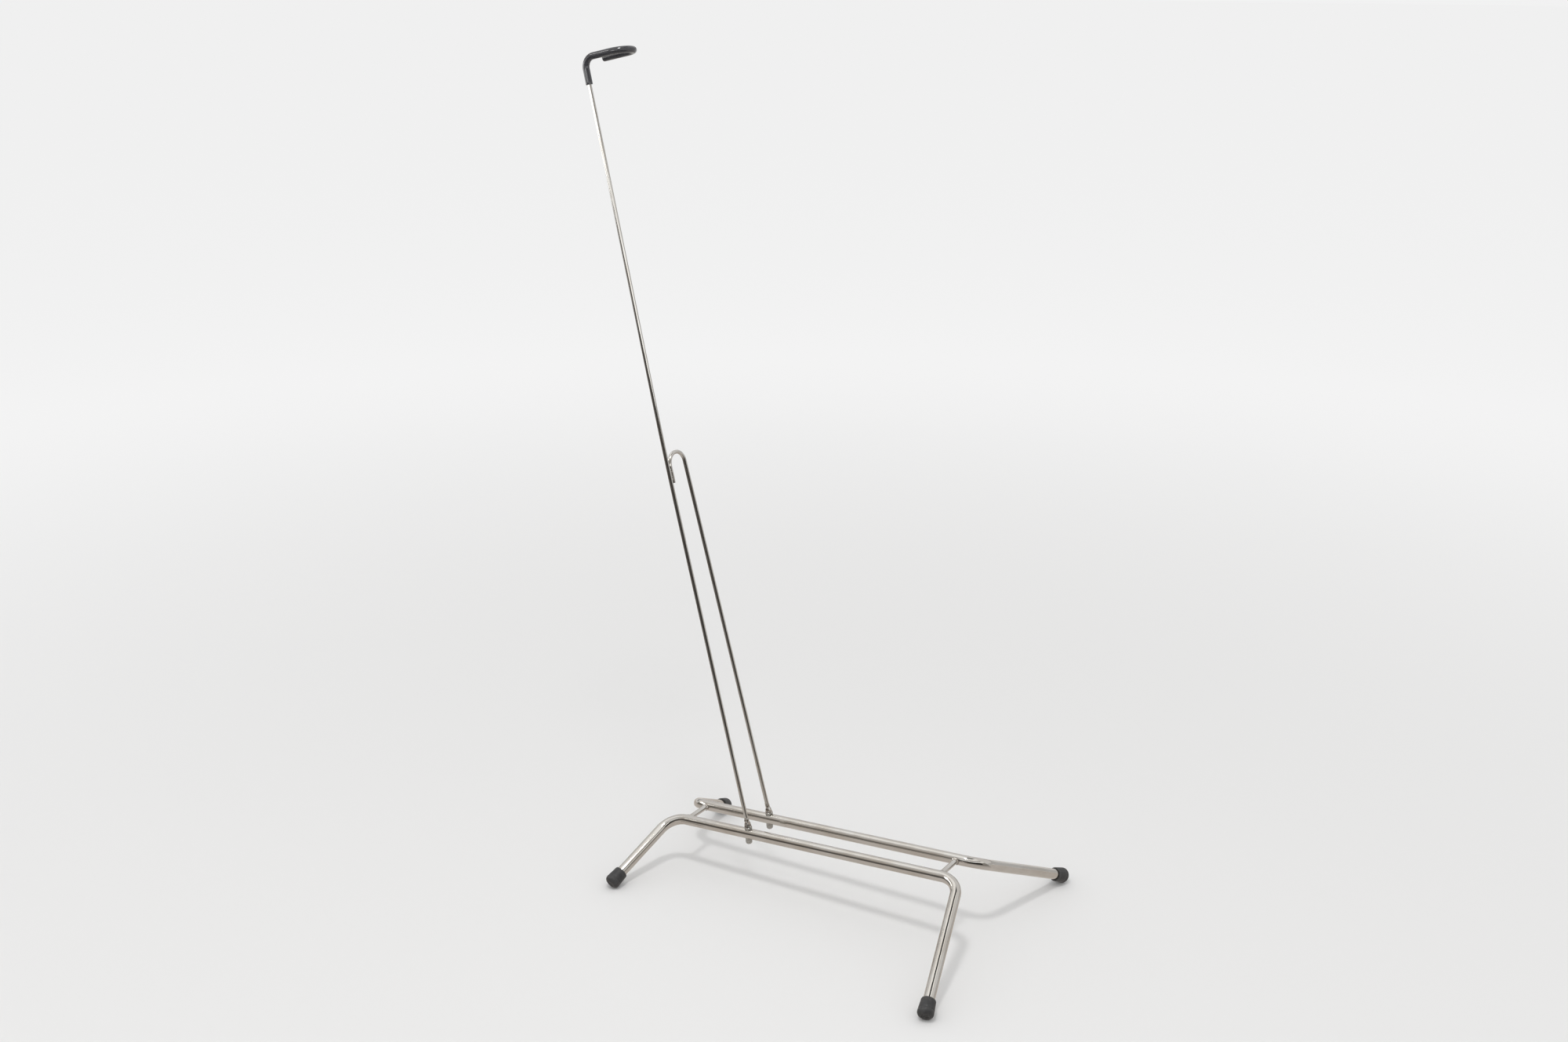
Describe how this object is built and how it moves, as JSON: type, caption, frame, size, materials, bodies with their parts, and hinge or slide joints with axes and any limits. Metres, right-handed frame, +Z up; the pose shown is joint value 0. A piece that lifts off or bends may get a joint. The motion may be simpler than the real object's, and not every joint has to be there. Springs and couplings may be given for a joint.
{
  "type": "bicycle floor stand",
  "caption": "Low floor stand of bent plated tube that holds a bicycle wheel between two rails, with a leaning lift-out upright that arches over the tyre and ends in a black sleeved hook.",
  "frame": {"origin": "on the floor, under the middle of the whole stand's box", "axes": "+X along the rails from the low end, which the upright leans over, to the high end; +Y from the hook rod's side to the loop rod's side; +Z up"},
  "size_m": [0.6976, 0.4646, 1.2246],
  "materials": {
    "plated_tube": "bright nickel-chrome plating, slightly worn",
    "plated_rod": "bright nickel-chrome plating",
    "plated_pin": "bright plating, turned surface",
    "plated_weld": "plated over a rough weld",
    "foot_rubber": "matte black moulded rubber",
    "sleeve_vinyl": "glossy black soft vinyl"
  },
  "bodies": {
    "base": {"hook_side_rail": "plated_tube", "loop_side_rail": "plated_tube", "low_crossbar": "plated_rod", "high_crossbar": "plated_rod", "low_crossbar_weld_hook_side": "plated_weld", "low_crossbar_weld_loop_side": "plated_weld", "high_crossbar_weld_hook_side": "plated_weld", "high_crossbar_weld_loop_side": "plated_weld", "low_foot_hook_side": "foot_rubber", "low_foot_loop_side": "foot_rubber", "high_foot_hook_side": "foot_rubber", "high_foot_loop_side": "foot_rubber"},
    "upright": {"hook_rod": "plated_rod", "loop_rod": "plated_rod", "lap_weld": "plated_weld", "hook_sleeve": "sleeve_vinyl", "hook_rod_pin": "plated_pin", "loop_rod_pin": "plated_pin", "hook_rod_pin_weld": "plated_weld", "loop_rod_pin_weld": "plated_weld"}
  },
  "joints": [
    {"name": "upright_lift", "type": "slide", "parent": "base", "child": "upright", "axis": [-0.061, 0, 0.9981], "range_m": [0, 0.06]}
  ]
}
